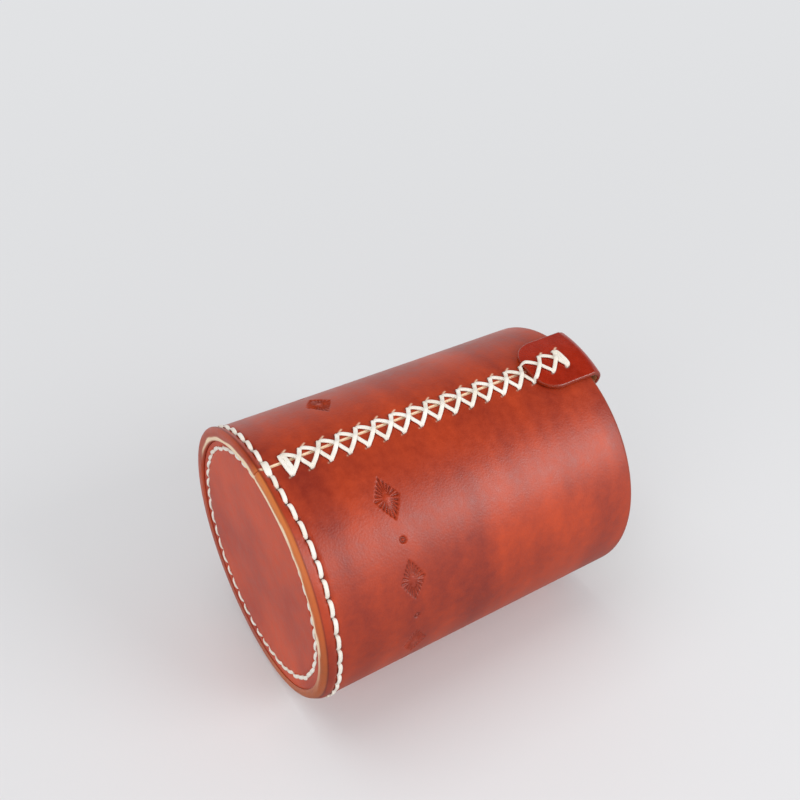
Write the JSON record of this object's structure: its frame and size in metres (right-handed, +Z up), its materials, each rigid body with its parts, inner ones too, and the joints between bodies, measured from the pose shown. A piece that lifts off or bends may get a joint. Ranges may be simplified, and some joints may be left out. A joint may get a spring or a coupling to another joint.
{
  "type": "pen holder",
  "caption": "Round leather pen cup: rolled wall cross-laced at a butted seam, box-stitched inset base disc, and a strap folded over the rim at the seam.",
  "frame": {"origin": "on the cup's axis, in the plane of the lower edge that it stands on", "axes": "+Z up along the axis towards the open mouth, laced seam and tab towards -Y"},
  "size_m": [0.0874, 0.09, 0.1123],
  "materials": {
    "wall_leather": "vegetable-tanned, red-brown dye, satin wax",
    "disc_leather": "vegetable-tanned, red-brown dye, satin wax",
    "tab_leather": "vegetable-tanned, red-brown dye, satin wax",
    "lacing_thread": "off-white waxed thread",
    "stitch_thread": "off-white waxed thread"
  },
  "bodies": {
    "root": {"wall": "wall_leather", "base_disc": "disc_leather", "rim_tab": "tab_leather", "seam_lacing": "lacing_thread", "base_stitching": "stitch_thread"}
  },
  "joints": []
}
